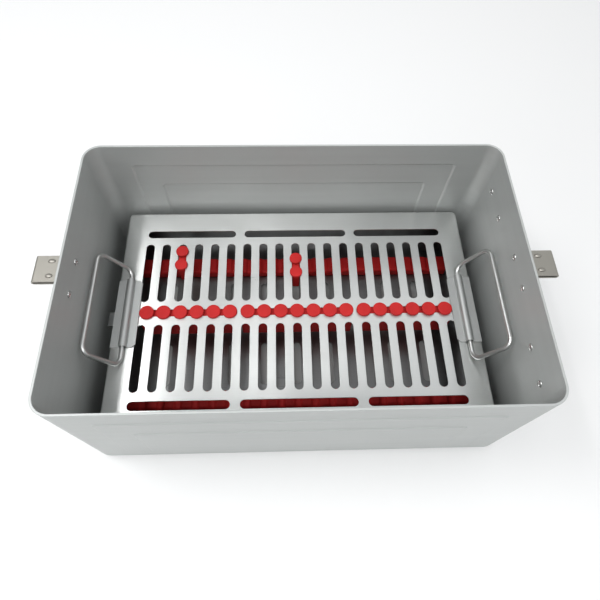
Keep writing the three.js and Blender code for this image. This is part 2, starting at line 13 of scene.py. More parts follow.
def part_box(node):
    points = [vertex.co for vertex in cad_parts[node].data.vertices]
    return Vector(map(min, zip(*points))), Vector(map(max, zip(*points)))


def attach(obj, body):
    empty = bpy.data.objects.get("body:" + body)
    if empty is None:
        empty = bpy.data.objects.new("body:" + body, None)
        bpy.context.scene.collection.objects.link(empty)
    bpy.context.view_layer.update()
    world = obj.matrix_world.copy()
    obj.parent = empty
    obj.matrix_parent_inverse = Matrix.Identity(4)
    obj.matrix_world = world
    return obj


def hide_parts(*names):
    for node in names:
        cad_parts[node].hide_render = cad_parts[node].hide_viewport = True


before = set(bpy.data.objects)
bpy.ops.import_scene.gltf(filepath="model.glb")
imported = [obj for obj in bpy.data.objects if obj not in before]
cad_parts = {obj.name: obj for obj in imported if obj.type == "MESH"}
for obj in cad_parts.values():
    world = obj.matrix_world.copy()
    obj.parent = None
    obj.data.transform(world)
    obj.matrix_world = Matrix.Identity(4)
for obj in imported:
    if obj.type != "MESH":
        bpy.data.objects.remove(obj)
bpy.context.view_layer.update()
MM = 0.001


def node_box(name):
    """The lowest and highest corners of a CAD node, in millimetres."""
    low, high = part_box(name)
    return low / MM, high / MM


# ---------------------------------------------------------------- dimensions, some read from the frame
_, TUB_HIGH = node_box("container_tub")
LID_LOW, LID_HIGH = node_box("cassette_lid")
BASE_LOW, BASE_HIGH = node_box("cassette_base")

PANEL_STEP = 0.8
TUB_HALF_X = TUB_HIGH.x
TUB_HALF_Y = TUB_HIGH.y - 2 * PANEL_STEP
TUB_WALL = 1.6
TUB_CORNER = 12.5
TUB_BOTTOM_RADIUS = 5.0
PANELS = [  # half length, low edge, top edge
    (127.5, 14.0, 102.5),
    (108.5, 20.4, 80.0),
]
PANEL_CORNER = 4.0
PANEL_BEVEL = 1.7

SHEET = 1.0
LID_TOP = LID_HIGH.z
LID_HALF_X = LID_HIGH.x
LID_HALF_Y = LID_HIGH.y
LID_CORNER = 4.0
LID_BEND = 1.4
SLOT_PITCH = 13.5
SLOT_COLUMNS = 19
SLOT_WIDTH = 6.8
SLOT_NEAR = 10.0
SLOT_FAR = 64.2
SLOT_EASE = 0.14
EDGE_SLOT_WIDTH = 6.8
EDGE_SLOT_Y = 74.2
EDGE_SLOT_SPANS = [(-124.6, -50.5), (-43.3, 43.3), (50.5, 124.6)]
STRIP_SLOT_WIDTH = 6.0
DISC_PITCH = 13.0
DISC_RADIUS = 5.7
PLUG_DISC_RADIUS = 5.1
DISC_HEIGHT = 2.5
KEEL_EDGE = 1.2
STRIP_HALF_KEEL = 8.0
PLUG_HALF_KEEL = 3.0
PLUG_OVERHANG = 3.9
STRIPS = [("hold_down_strip_left", 6), ("hold_down_strip_centre", 7), ("hold_down_strip_right", 6)]
PLUGS = [("slot_plug_left", "left_plug"), ("slot_plug_centre", "centre_plug")]
BASE_BEND = 2.0
FOOT_HEIGHT = 3.2
FOOT_X = 122.0
FOOT_Y = 76.0
DRAIN_Y = 29.0
DRAIN_HALF_LENGTH = 18.0
DRAIN_COLUMNS = 9
RAIL_EDGE = 2.6
RAIL_HOLLOW_HALF = 4.8
RAIL_HOLLOW_TOP = 10.9
NOTCH_DEPTH = 1.8
NOTCH_WIDTH = 7.6
NOTCH_SLOPE = 2.6
SUPPORT_HALF = 4.0
WIRE_RADIUS = 1.7
WIRE_BEND = 7.0
BRACKET_SHEET = 0.9
BRACKET_CHANNEL = 2.3
BRACKET_CHAMFER = 2.5
CATCH_WIDTH = 20.0
CATCH_BEND = 2.5
CATCH_FLANGE_TOP = 107.0
HOOK_DEPTH = 3.7
HOOK_END = 5.0
SHELF_TOP = 115.0
DART_RADII = (2.6, 1.7, 1.3)
DART_OUT = 7.4
DART_Y = 5.6
RIVET_SPACING = 25.5
RIVET_HEIGHT = 102.0
RIVET_SHANK = 1.6
RIVET_HEAD = 2.5
HOLDER_SHEET = 0.8
HOLDER_LIP = 3.4
LATCH_GAP = 0.4
LATCH_ROOT_HEIGHT = 4.0
FOLD_BEND = 1.2
CHANNEL_BEND = 1.1
HOLDER_BEND = 0.7
FLANGE_CORNER = 3.0
TAG_CORNER = 1.5
STAGE_RADIUS = 3000.0
BACKDROP_HEIGHT = 4000.0

# ---------------------------------------------------------------- looks, light and camera: metres, degrees
ALONG_X = (40, 2200, 2200)
ALONG_Y = (2200, 40, 2200)
EVEN_FINE = (300, 300, 300)
EVEN_COARSE = (60, 60, 60)
BUMP_DISTANCE = 0.0001
OVERHEAD_LIGHT = 0.74
RIGHT_LIGHT = 0.66
LEFT_LIGHT = 0.35
CEILING = 1.045
CAMERA_POSITION = (-0.01070, -0.17556, 0.40767)
CAMERA_TILT = 62.864
CAMERA_YAW = 4.0955
CAMERA_ROLL = 2.8505
CAMERA_SENSOR = 36
CAMERA_LENS = 30.4675


# ---------------------------------------------------------------- node helpers for materials
class Shader:
    """A short way to write a procedural material."""

    def __init__(self, name):
        self.material = bpy.data.materials.new(name)
        self.material.use_nodes = True
        self.tree = self.material.node_tree
        self.bsdf = self.tree.nodes["Principled BSDF"]
        self.coords = self.tree.nodes.new("ShaderNodeTexCoord").outputs["Object"]

    def node(self, kind, **inputs):
        made = self.tree.nodes.new(kind)
        for key, value in inputs.items():
            self.put(made, key.replace("_", " "), value)
        return made

    def put(self, node, key, value):
        socket = node.inputs[int(key)] if key.isdigit() else node.inputs[key]
        if isinstance(value, bpy.types.NodeSocket):
            self.tree.links.new(value, socket)
        else:
            socket.default_value = value

    def set(self, **inputs):
        for key, value in inputs.items():
            self.put(self.bsdf, key.replace("_", " "), value)

    def scaled(self, x, y, z):
        """Object coordinates, in metres, times a scale on each axis."""
        mapping = self.node("ShaderNodeMapping", Vector=self.coords)
        mapping.inputs["Scale"].default_value = (x, y, z)
        return mapping.outputs["Vector"]

    def noise(self, vector, scale=1.0, detail=3.0, roughness=0.55):
        made = self.node("ShaderNodeTexNoise", Vector=vector, Scale=scale, Detail=detail, Roughness=roughness)
        return made.outputs["Fac"]

    def span(self, value, low, high, from_low=0.3, from_high=0.7):
        made = self.tree.nodes.new("ShaderNodeMapRange")
        self.put(made, "Value", value)
        self.put(made, "From Min", from_low)
        self.put(made, "From Max", from_high)
        self.put(made, "To Min", low)
        self.put(made, "To Max", high)
        return made.outputs["Result"]

    def blend(self, factor, first, second):
        made = self.tree.nodes.new("ShaderNodeMix")
        made.data_type = "RGBA"
        self.put(made, "Factor", factor)
        for key, value in (("A", first), ("B", second)):
            for socket in made.inputs:
                if socket.name == key and socket.type == "RGBA":
                    socket.default_value = (*value, 1)
        return next(s for s in made.outputs if s.type == "RGBA")

    def math(self, operation, first, second):
        made = self.tree.nodes.new("ShaderNodeMath")
        made.operation = operation
        self.put(made, "0", first)
        self.put(made, "1", second)
        return made.outputs[0]

    def bump(self, height, strength, distance):
        made = self.node("ShaderNodeBump", Height=height, Strength=strength, Distance=distance)
        return made.outputs["Normal"]


def tint(colour, factor):
    return tuple(min(1.0, c * factor) for c in colour)


def brushed_metal(name, colour, roughness, grain, spread=0.06, bump=0.25, stretch=0.0):
    """Sheet metal with a fine grain drawn along one axis and faint smears."""
    s = Shader(name)
    lines = s.noise(s.scaled(*grain), detail=4.0, roughness=0.65)
    smears = s.noise(s.scaled(22, 22, 22), detail=4.0)
    both = s.math("ADD", s.math("MULTIPLY", lines, 0.6), s.math("MULTIPLY", smears, 0.4))
    s.set(
        Base_Color=s.blend(s.span(both, 0.0, 1.0), tint(colour, 1 - spread), tint(colour, 1 + spread)),
        Metallic=1.0,
        Roughness=s.span(both, roughness * 0.8, roughness * 1.25),
        Normal=s.bump(lines, bump, BUMP_DISTANCE),
    )
    if stretch:
        tangent = s.tree.nodes.new("ShaderNodeTangent")
        tangent.direction_type = "RADIAL"
        tangent.axis = "X"
        s.set(Anisotropic=stretch, Tangent=tangent.outputs["Tangent"])
    return s.material


def satin_aluminium(name, colour, roughness):
    """Blasted and anodised aluminium: an even, fine, slightly mottled skin with faint scuffs."""
    s = Shader(name)
    grain = s.noise(s.scaled(1800, 1800, 1800), detail=3.0)
    drawn = s.noise(s.scaled(6, 6, 120), detail=3.0)
    clouds = s.noise(s.scaled(9, 9, 9), detail=5.0)
    scuffs = s.span(s.noise(s.scaled(60, 60, 400), detail=6.0), 0.0, 1.0, 0.66, 0.8)
    mottle = s.math("ADD", s.math("MULTIPLY", drawn, 0.5), s.math("MULTIPLY", clouds, 0.5))
    tone = s.math("MAXIMUM", s.span(mottle, 0.0, 0.9), scuffs)
    even = s.span(clouds, roughness * 0.92, roughness * 1.1)
    s.set(
        Base_Color=s.blend(tone, tint(colour, 0.95), tint(colour, 1.05)),
        Metallic=0.2,
        Roughness=s.math("SUBTRACT", even, s.math("MULTIPLY", scuffs, 0.08)),
        Normal=s.bump(grain, 0.2, BUMP_DISTANCE),
    )
    return s.material


def moulded_silicone(name, colour):
    """Matt silicone with a dusty, slightly uneven skin."""
    s = Shader(name)
    skin = s.noise(s.scaled(900, 900, 900), detail=4.0)
    clouds = s.noise(s.scaled(60, 60, 60), detail=3.0)
    s.set(
        Base_Color=s.blend(s.span(clouds, 0.0, 1.0), tint(colour, 0.9), tint(colour, 1.08)),
        Roughness=s.span(skin, 0.45, 0.65),
        Normal=s.bump(skin, 0.25, BUMP_DISTANCE),
        Specular_IOR_Level=0.25,
    )
    return s.material


def plain_plastic(name, colour, roughness):
    """Smooth, slightly uneven plastic card."""
    s = Shader(name)
    skin = s.noise(s.scaled(1500, 1500, 1500), detail=3.0)
    clouds = s.noise(s.scaled(30, 30, 30), detail=3.0)
    s.set(
        Base_Color=s.blend(s.span(clouds, 0.0, 1.0), tint(colour, 0.96), tint(colour, 1.02)),
        Roughness=s.span(skin, roughness * 0.85, roughness * 1.15),
        Normal=s.bump(skin, 0.15, BUMP_DISTANCE),
    )
    return s.material


def floor_paper(name):
    """Pale matt paper."""
    s = Shader(name)
    fibre = s.noise(s.scaled(700, 700, 700), detail=3.0)
    s.set(Base_Color=(0.86, 0.86, 0.86, 1), Roughness=0.9, Normal=s.bump(fibre, 0.05, 2 * BUMP_DISTANCE))
    return s.material


def glowing_paper(name):
    """An even pale surface that needs no light."""
    s = Shader(name)
    s.set(Base_Color=(0, 0, 0, 1), Specular_IOR_Level=0.0)
    s.set(Emission_Color=(0.97, 0.985, 1.0, 1), Emission_Strength=0.62)
    return s.material


MATERIALS = {
    "tub": satin_aluminium("satin_aluminium", (0.50, 0.516, 0.508), 0.42),
    "lid": brushed_metal("lid_brushed_steel", (0.68, 0.69, 0.68), 0.33, ALONG_X, 0.04, 0.12, stretch=0.9),
    # The base steel's dark tone is painted shade: the pan is the same steel as the lid, darkened so that it
    # reads as shade through the slots. The latch leaf uses this material too.
    "base": brushed_metal("base_steel_darkened_as_shade", (0.30, 0.305, 0.305), 0.32, ALONG_X),
    "rail": brushed_metal("rail_steel", (0.40, 0.41, 0.41), 0.35, ALONG_X),
    "bracket": brushed_metal("bracket_steel", (0.55, 0.56, 0.555), 0.5, ALONG_Y, 0.04),
    "wire": brushed_metal("handle_wire_steel", (0.66, 0.665, 0.655), 0.33, EVEN_COARSE, 0.06, 0.1),
    "catch": brushed_metal("catch_steel", (0.41, 0.395, 0.36), 0.45, ALONG_Y, 0.08),
    "rivet": brushed_metal("rivet_metal", (0.74, 0.74, 0.73), 0.26, EVEN_FINE, 0.06, 0.1),
    "tag": plain_plastic("blank_tag_plastic", (0.74, 0.74, 0.72), 0.5),
    "silicone": moulded_silicone("red_silicone", (0.52, 0.032, 0.032)),
}


# ---------------------------------------------------------------- mesh helpers
def rounded_outline(half_x, half_y, radius, per_corner):
    """Points of a rounded rectangle, counter-clockwise, each with the direction that faces out of it."""
    points = []
    for corner, (sx, sy) in enumerate(((1, 1), (-1, 1), (-1, -1), (1, -1))):
        for i in range(per_corner + 1):
            angle = (corner + i / per_corner) * math.pi / 2
            out = (math.cos(angle), math.sin(angle))
            points.append(
                (sx * (half_x - radius) + radius * out[0], sy * (half_y - radius) + radius * out[1], *out)
            )
    return points


def slot_outline(x, y, half_length, half_width, upright, per_end=8):
    """Points of a slot with round ends, with outward directions."""
    points = []
    straight = half_length - half_width
    for end in (0, 1):
        for i in range(per_end + 1):
            angle = (end + i / per_end) * math.pi
            if not upright:
                angle -= math.pi / 2
            out = (math.cos(angle), math.sin(angle))
            sign = 1 if end == 0 else -1
            cx = x if upright else x + sign * straight
            cy = y + sign * straight if upright else y
            points.append((cx + half_width * out[0], cy + half_width * out[1], *out))
    return points


class Builder:
    """Collects rings and faces of one mesh, in millimetres."""

    def __init__(self):
        self.bm = bmesh.new()

    def ring(self, points):
        return [self.bm.verts.new(p) for p in points]

    def offset_ring(self, outline, grow, z):
        return self.ring([(x + nx * grow, y + ny * grow, z) for x, y, nx, ny in outline])

    def bridge(self, first, second, closed=True):
        count = len(first)
        for i in range(count if closed else count - 1):
            j = (i + 1) % count
            self.bm.faces.new((first[i], first[j], second[j], second[i]))

    def stack(self, rings, closed=True):
        for first, second in zip(rings, rings[1:]):
            self.bridge(first, second, closed)

    def cap(self, ring, flip=False):
        self.bm.faces.new(list(reversed(ring)) if flip else ring)

    def fill(self, loops):
        """A flat face inside the first loop with holes for the others."""
        edges = []
        for loop in loops:
            for a, b in zip(loop, loop[1:] + loop[:1]):
                edges.append(self.bm.edges.get((a, b)) or self.bm.edges.new((a, b)))
        bmesh.ops.triangle_fill(self.bm, use_beauty=True, use_dissolve=False, edges=edges)

    def box(self, low, high, bevel=0.0, segments=2):
        made = bmesh.ops.create_cube(self.bm, size=1.0)["verts"]
        size = Vector(high) - Vector(low)
        centre = (Vector(high) + Vector(low)) / 2
        for v in made:
            v.co = Vector((v.co.x * size.x, v.co.y * size.y, v.co.z * size.z)) + centre
        if bevel:
            edges = list({e for v in made for e in v.link_edges})
            bmesh.ops.bevel(
                self.bm, geom=edges, offset=bevel, segments=segments, profile=0.5, affect="EDGES"
            )

    def lathe(self, profile, centre, axis="Z", sides=32):
        """Turns a closed profile of (radius, height) about an axis through centre."""
        rings = []
        poles = []
        for radius, height in profile:
            if radius < 1e-6:
                poles.append(self.place((0, 0, height), centre, axis))
                rings.append(None)
                continue
            ring = []
            for i in range(sides):
                angle = 2 * math.pi * i / sides
                local = (radius * math.cos(angle), radius * math.sin(angle), height)
                ring.append(self.bm.verts.new(self.place(local, centre, axis)))
            rings.append(ring)
        solid = [r for r in rings if r]
        self.stack(solid)
        for pole, ring, flip in zip(poles, (solid[0], solid[-1]), (True, False)):
            tip = self.bm.verts.new(pole)
            for i in range(sides):
                j = (i + 1) % sides
                self.bm.faces.new((ring[j], ring[i], tip) if flip else (ring[i], ring[j], tip))

    @staticmethod
    def place(local, centre, axis):
        x, y, z = local
        turned = (z, x, y) if axis == "X" else (x, y, z)
        return tuple(a + b for a, b in zip(turned, centre))

    def sweep(self, section, low, high, axis, ease=0.15, chamfer=0.0):
        """Carries a section from sheet_section along X or Y, with eased ends.

        A chamfer shifts the two corners at the start of the sheet up the section's first axis.
        It cuts them off where the sheet starts on its low side, and draws them out on its high side.
        """
        stations = [(low, ease), (low + ease, 0.0), (high - ease, 0.0), (high, ease)]
        if chamfer:
            stations[2:2] = [(low + chamfer, 0.0), (high - chamfer, 0.0)]
        count = len(section)
        rings = []
        for at, inset in stations:
            trim = max(0.0, chamfer - min(at - low, high - at))
            ring = []
            for i, (across, up, shift) in enumerate(section):
                before = section[i - 1]
                after = section[(i + 1) % count]
                tangent = Vector((after[0] - before[0], after[1] - before[1])).normalized()
                p = across + tangent.y * inset + shift * trim
                q = up - tangent.x * inset
                ring.append((at, p, q) if axis == "X" else (p, at, q))
            rings.append(self.ring(ring))
        self.stack(rings)
        self.cap(rings[0], flip=True)
        self.cap(rings[-1])

    def slab(self, outline, holes, low, high, ease=0.15):
        """A flat plate standing across X, with its outline and holes given in Y and Z."""

        def ring(points, grow, x):
            return self.ring([(x, y + ny * grow, z + nz * grow) for y, z, ny, nz in points])

        steps = [(ease, low), (0.0, low + ease), (0.0, high - ease), (ease, high)]
        faces = {low: [], high: []}
        for points, sign in [(outline, -1)] + [(hole, 1) for hole in holes]:
            rings = [ring(points, sign * grow, x) for grow, x in steps]
            self.stack(rings)
            faces[low].append(rings[0])
            faces[high].append(rings[-1])
        for loops in faces.values():
            self.fill(loops)

    def mirror_x(self):
        bmesh.ops.scale(self.bm, vec=(-1, 1, 1), verts=self.bm.verts)

    def finish(self, name, material, body, slot, nodes, smooth_angle=35):
        bm = self.bm
        bmesh.ops.remove_doubles(bm, verts=bm.verts, dist=1e-4)
        bmesh.ops.recalc_face_normals(bm, faces=bm.faces)
        mesh = bpy.data.meshes.new(name)
        bmesh.ops.scale(bm, vec=(MM, MM, MM), verts=bm.verts)
        bm.to_mesh(mesh)
        bm.free()
        mesh.materials.append(MATERIALS[material])
        mesh.shade_smooth()
        mesh.set_sharp_from_angle(angle=math.radians(smooth_angle))
        piece = bpy.data.objects.new(name, mesh)
        bpy.context.scene.collection.objects.link(piece)
        weigh_normals(piece)
        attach(piece, body)
        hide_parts(*nodes)
        return piece


def weigh_normals(piece):
    """Keeps large flat faces flat beside small rounded edges."""
    modifier = piece.modifiers.new("weighted", "WEIGHTED_NORMAL")
    modifier.keep_sharp = True
    modifier.weight = 100


def circle_outline(x, y, radius, sides=24):
    points = []
    for i in range(sides):
        angle = 2 * math.pi * i / sides
        out = (math.cos(angle), math.sin(angle))
        points.append((x + radius * out[0], y + radius * out[1], *out))
    return points


def arc(x, y, radius, start, end, steps):
    """Points of an arc, with its angles in quarter turns."""
    points = []
    for i in range(steps + 1):
        angle = (start + (end - start) * i / steps) * math.pi / 2
        points.append((x + radius * math.cos(angle), y + radius * math.sin(angle)))
    return points


def bent_path(corners, radius, steps=5):
    """A path through corners, each rounded as a sheet is in a bend."""
    path = [Vector(corners[0])]
    for before, corner, after in zip(corners, corners[1:], corners[2:]):
        corner = Vector(corner)
        back = Vector(before) - corner
        onward = Vector(after) - corner
        reach = min(radius, back.length * 0.45, onward.length * 0.45)
        first = corner + back.normalized() * reach
        last = corner + onward.normalized() * reach
        for i in range(steps + 1):
            t = i / steps
            path.append(first * (1 - t) ** 2 + corner * 2 * t * (1 - t) + last * t * t)
    path.append(Vector(corners[-1]))
    return path


def sheet_section(path, thickness, ease=0.15):
    """The clockwise section of a bent sheet, as (across, up, shift). Shift marks the start of the sheet."""
    path = [Vector(p) for p in path]
    steps = [(b - a).normalized() for a, b in zip(path, path[1:])]
    left, right = [], []
    for i, point in enumerate(path):
        one = steps[max(i - 1, 0)]
        two = steps[min(i, len(steps) - 1)]
        tangent = (one + two).normalized()
        reach = thickness / 2 / max(tangent.dot(one), 0.3)
        normal = Vector((-tangent.y, tangent.x))
        left.append(point + normal * reach)
        right.append(point - normal * reach)
    start_edge = (left[0] - right[0]).normalized() * ease
    end_edge = (left[-1] - right[-1]).normalized() * ease
    start_face = [right[0] + start_edge, left[0] - start_edge]
    end_face = [left[-1] - end_edge, right[-1] + end_edge]
    left[0] += steps[0] * ease
    right[0] += steps[0] * ease
    left[-1] -= steps[-1] * ease
    right[-1] -= steps[-1] * ease
    section = [(p.x, p.y, 1.0) for p in start_face]
    section.append((left[0].x, left[0].y, 1.0))
    section.extend((p.x, p.y, 0.0) for p in left[1:] + end_face + right[:0:-1])
    section.append((right[0].x, right[0].y, 1.0))
    return section


def smoothstep(value):
    t = max(0.0, min(1.0, value))
    return t * t * (3 - 2 * t)


def graded(low, high, fine_spots, fine=0.6, reach=3.0, coarse=12.0):
    """Positions from low to high, dense around the fine spots."""
    marks = {low, high}
    for spot in fine_spots:
        steps = int(reach / fine)
        for i in range(-steps, steps + 1):
            at = spot + i * fine
            if low < at < high:
                marks.add(round(at, 3))
    ordered = sorted(marks)
    filled = [ordered[0]]
    for at in ordered[1:]:
        gap = at - filled[-1]
        if gap < 0.25:
            continue
        pieces = max(1, math.ceil(gap / coarse))
        start = filled[-1]
        filled.extend(start + gap * (i + 1) / pieces for i in range(pieces))
    filled[-1] = high
    return filled


# ---------------------------------------------------------------- container tub
def panel_rise(x, z):
    """How far the long walls are pressed outwards at a point."""
    rise = 0.0
    for half, low, top in PANELS:
        across = abs(x) - (half - PANEL_CORNER)
        up = abs(z - (low + top) / 2) - ((top - low) / 2 - PANEL_CORNER)
        outside = math.hypot(max(across, 0), max(up, 0)) + min(max(across, up), 0) - PANEL_CORNER
        rise += PANEL_STEP * smoothstep(-outside / PANEL_BEVEL)
    return rise


def tub_columns():
    """Points round the tub's outside with outward directions and a flag for the long walls."""
    flat_x = TUB_HALF_X - TUB_CORNER
    flat_y = TUB_HALF_Y - TUB_CORNER
    corner_steps = 14
    spots = [side * (half - PANEL_CORNER / 2) for side in (-1, 1) for half, _, _ in PANELS]
    xs = graded(-flat_x, flat_x, spots, 0.5, PANEL_CORNER / 2 + 0.5, 14)
    ys = graded(-flat_y, flat_y, [], coarse=22)
    columns = []

    def corner(sx, sy, start):
        for i in range(1, corner_steps):
            angle = (start + i / corner_steps) * math.pi / 2
            nx, ny = math.cos(angle), math.sin(angle)
            columns.append((sx * flat_x + TUB_CORNER * nx, sy * flat_y + TUB_CORNER * ny, nx, ny, False))

    columns.extend((TUB_HALF_X, y, 1, 0, False) for y in ys)
    corner(1, 1, 0)
    columns.extend((x, TUB_HALF_Y, 0, 1, True) for x in reversed(xs))
    corner(-1, 1, 1)
    columns.extend((-TUB_HALF_X, y, -1, 0, False) for y in reversed(ys))
    corner(-1, -1, 2)
    columns.extend((x, -TUB_HALF_Y, 0, -1, True) for x in xs)
    corner(1, -1, 3)
    return columns


def tub_profile():
    """(inset, height) pairs up the outside, over the rim and down the inside."""
    outer = TUB_BOTTOM_RADIUS
    inner = TUB_BOTTOM_RADIUS - TUB_WALL
    steps = 8
    lip = 0.35
    top = TUB_HIGH.z
    inset = PANEL_CORNER / 2
    spots = [edge for _, low, high in PANELS for edge in (low + inset, high - inset)]
    walls = graded(outer + 1, top - lip - 1, spots, 0.5, inset + 0.5, 12)
    profile = []
    for i in range(steps + 1):
        angle = math.pi / 2 * i / steps
        profile.append((outer * (1 - math.sin(angle)), outer * (1 - math.cos(angle))))
    profile.extend((0, z) for z in walls)
    rim = 4
    for i in range(rim + 1):
        angle = math.pi / 2 * i / rim
        profile.append((lip * (1 - math.cos(angle)), top - lip + lip * math.sin(angle)))
    for i in range(rim + 1):
        angle = math.pi / 2 * (1 - i / rim)
        profile.append((TUB_WALL - lip + lip * math.cos(angle), top - lip + lip * math.sin(angle)))
    profile.extend((TUB_WALL, z) for z in reversed(walls))
    for i in range(steps, -1, -1):
        angle = math.pi / 2 * i / steps
        profile.append(
            (TUB_WALL + inner * (1 - math.sin(angle)), TUB_WALL + inner * (1 - math.cos(angle)))
        )
    return profile


def build_tub():
    """One sheet, drawn into a tub, with the panels pressed outwards in its long walls."""
    b = Builder()
    columns = tub_columns()
    rings = []
    for inset, z in tub_profile():
        ring = []
        for x, y, nx, ny, long_wall in columns:
            rise = panel_rise(x, z) if long_wall else 0.0
            ring.append((x + nx * (rise - inset), y + ny * (rise - inset), z))
        rings.append(b.ring(ring))
    b.stack(rings)
    b.cap(rings[0], flip=True)
    b.cap(rings[-1])
    b.finish("tub_shell", "tub", "container", "satin_aluminium", ["container_tub"], 50)


# ---------------------------------------------------------------- cassette lid and base
def eased_hole(b, outline, top, under, ease=SLOT_EASE):
    """The wall of a pierced hole with eased edges. Returns its top and bottom rings."""
    rings = [
        b.offset_ring(outline, ease, top),
        b.offset_ring(outline, ease * 0.3, top - ease * 0.3),
        b.offset_ring(outline, 0, top - ease),
        b.offset_ring(outline, 0, under + ease),
        b.offset_ring(outline, ease * 0.3, under + ease * 0.3),
        b.offset_ring(outline, ease, under),
    ]
    b.stack(rings)
    return rings[0], rings[-1]


def lid_slots():
    """Outlines of the two rows of slots, the long edge slots and the slots of the strips."""
    reach = (SLOT_COLUMNS - 1) // 2
    middle = (SLOT_NEAR + SLOT_FAR) / 2
    half = (SLOT_FAR - SLOT_NEAR) / 2
    slots = []
    for column in range(-reach, reach + 1):
        for side in (-1, 1):
            slots.append(slot_outline(column * SLOT_PITCH, side * middle, half, SLOT_WIDTH / 2, True))
    for low, high in EDGE_SLOT_SPANS:
        middle_x, half_length = (low + high) / 2, (high - low) / 2
        for side in (-1, 1):
            slots.append(slot_outline(middle_x, side * EDGE_SLOT_Y, half_length, EDGE_SLOT_WIDTH / 2, False))
    for name, discs in STRIPS:
        half_length = (discs - 1) * DISC_PITCH / 2 + STRIP_SLOT_WIDTH / 2
        slots.append(slot_outline(strip_middle(name).x, 0, half_length, STRIP_SLOT_WIDTH / 2, False))
    return slots


def strip_middle(name):
    low, high = node_box(name)
    return (low + high) / 2


def bend_rings(b, outline, centre_z, radius, base_inset, rising, steps=5):
    """Rings round a quarter bend between a flat top and an upright skirt."""
    rings = []
    for i in range(steps + 1):
        angle = math.pi / 2 * (i / steps if rising else 1 - i / steps)
        inset = base_inset + radius * (1 - math.cos(angle))
        z = centre_z + radius * math.sin(angle)
        rings.append(b.offset_ring(outline, -inset, z))
    return rings


def build_lid():
    """A pierced plate with its edges bent down into a skirt."""
    b = Builder()
    outline = rounded_outline(LID_HALF_X, LID_HALF_Y, LID_CORNER, 8)
    under = LID_TOP - SHEET
    inner_bend = LID_BEND - SHEET
    low = LID_LOW.z
    ease = 0.25
    rings = bend_rings(b, outline, LID_TOP - LID_BEND, LID_BEND, 0, rising=False)
    rings.append(b.offset_ring(outline, 0, low + ease))
    rings.append(b.offset_ring(outline, -ease, low))
    rings.append(b.offset_ring(outline, -SHEET + ease, low))
    rings.append(b.offset_ring(outline, -SHEET, low + ease))
    rings.extend(bend_rings(b, outline, LID_TOP - LID_BEND, inner_bend, SHEET, rising=True, steps=2))
    b.stack(rings)
    tops = [rings[0]]
    unders = [rings[-1]]
    for slot in lid_slots():
        top, bottom = eased_hole(b, slot, LID_TOP, under)
        tops.append(top)
        unders.append(bottom)
    b.fill(tops)
    b.fill(unders)
    b.finish("lid_plate", "lid", "tray_lid", "lid_steel", ["cassette_lid"], 40)


def build_base():
    """A pan with drain slots in its floor and four pressed feet."""
    b = Builder()
    outline = rounded_outline(BASE_HIGH.x, BASE_HIGH.y, LID_CORNER - SHEET, 6)
    bottom = BASE_LOW.z + FOOT_HEIGHT
    floor_top = bottom + SHEET
    inner = BASE_BEND - SHEET
    ease = 0.2
    steps = 5
    rings = []
    for i in range(steps + 1):
        angle = math.pi / 2 * i / steps
        inset = BASE_BEND * (1 - math.sin(angle))
        rings.append(b.offset_ring(outline, -inset, bottom + BASE_BEND * (1 - math.cos(angle))))
    rings.append(b.offset_ring(outline, 0, BASE_HIGH.z - ease))
    rings.append(b.offset_ring(outline, -ease, BASE_HIGH.z))
    rings.append(b.offset_ring(outline, -SHEET + ease, BASE_HIGH.z))
    rings.append(b.offset_ring(outline, -SHEET, BASE_HIGH.z - ease))
    for i in range(steps, -1, -1):
        angle = math.pi / 2 * i / steps
        inset = SHEET + inner * (1 - math.sin(angle))
        rings.append(b.offset_ring(outline, -inset, floor_top + inner * (1 - math.cos(angle))))
    b.stack(rings)
    tops = [rings[-1]]
    unders = [rings[0]]
    for i in range(DRAIN_COLUMNS):
        x = (i - (DRAIN_COLUMNS - 1) / 2) * 2 * SLOT_PITCH
        for y in (-DRAIN_Y, DRAIN_Y):
            drain = slot_outline(x, y, DRAIN_HALF_LENGTH, SLOT_WIDTH / 2, True)
            top, under = eased_hole(b, drain, floor_top, bottom)
            tops.append(top)
            unders.append(under)
    b.fill(tops)
    b.fill(unders)
    tip, root = 5.2, 8.4
    foot = [(0, BASE_LOW.z), (tip - 0.6, BASE_LOW.z)]
    for i in range(7):
        t = i / 6
        foot.append((tip + (root - tip) * t, BASE_LOW.z + (FOOT_HEIGHT + 0.2) * smoothstep(t)))
    foot.append((0, bottom + 0.3))
    for sx in (-1, 1):
        for sy in (-1, 1):
            b.lathe(foot, (sx * FOOT_X, sy * FOOT_Y, 0))
    b.finish("base_pan", "base", "tray_base", "base_steel", ["cassette_base"], 40)


build_tub()
build_lid()
build_base()


# ---------------------------------------------------------------- silicone
def disc_head(radius):
    """Profile of a disc: a soft lower edge, a rounder top edge and a slightly crowned face."""
    low = LID_TOP + 0.2
    high = LID_TOP + DISC_HEIGHT
    lower, upper = 0.25, 0.7
    profile = [(0, low), (radius - lower, low)]
    profile.extend(arc(radius - lower, low + lower, lower, -1, 0, 3)[1:])
    profile.extend(arc(radius - upper, high - 0.1 - upper, upper, 0, 1, 6))
    profile.append((radius * 0.5, high - 0.03))
    profile.append((0, high))
    return profile


